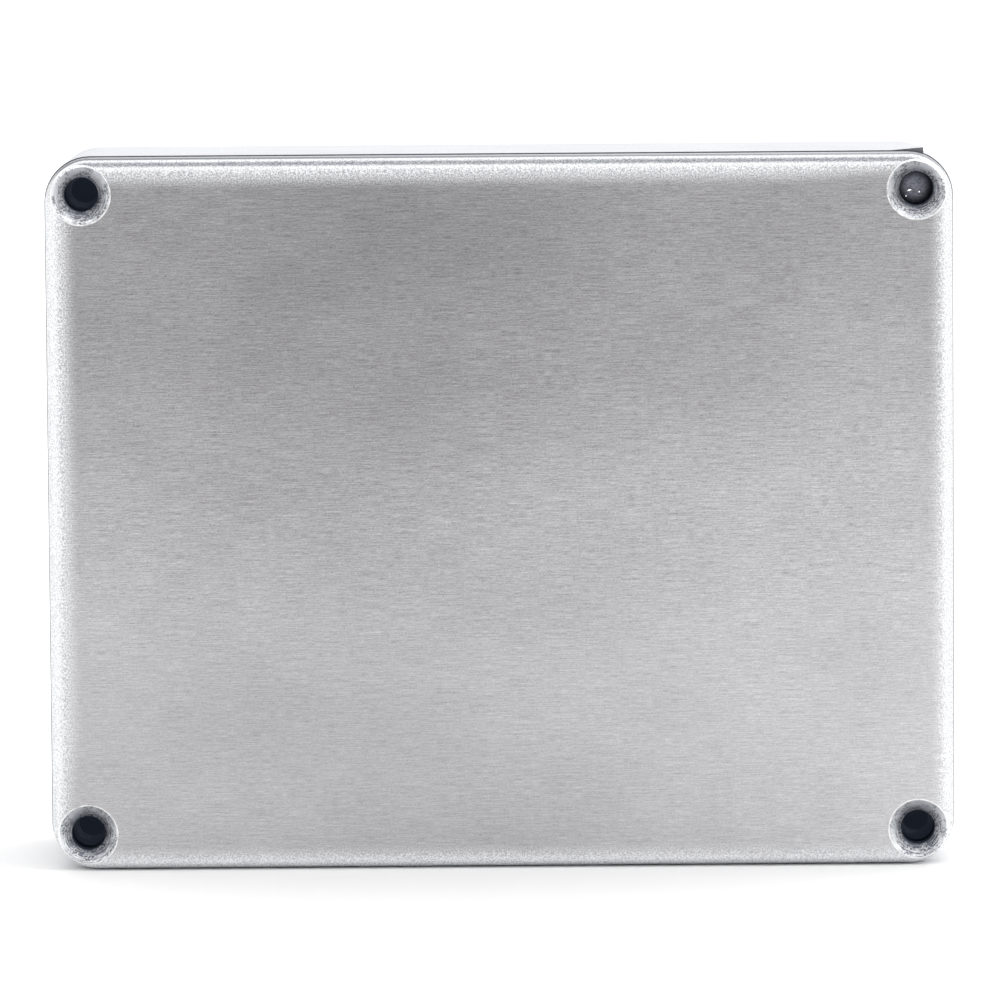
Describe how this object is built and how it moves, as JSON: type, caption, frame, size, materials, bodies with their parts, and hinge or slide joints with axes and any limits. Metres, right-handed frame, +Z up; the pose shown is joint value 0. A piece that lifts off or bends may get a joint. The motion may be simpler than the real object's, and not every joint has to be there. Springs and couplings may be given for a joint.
{
  "type": "die cast aluminium box",
  "caption": "Rounded die cast aluminium enclosure: a drafted tray with corner screw posts and a flat brushed lid with countersunk screw holes, standing on its long side.",
  "frame": {"origin": "middle of the box's footprint on the surface that it stands on", "axes": "+X along the box's length, -Y out of the lid's face, +Z up"},
  "size_m": [0.119, 0.034, 0.0943],
  "materials": {
    "blasted_aluminium": "as cast and blasted, fine grain, matt",
    "brushed_aluminium": "face brushed along its length, rim blasted"
  },
  "bodies": {
    "root": {"box_body": "blasted_aluminium", "lid": "brushed_aluminium"}
  },
  "joints": []
}
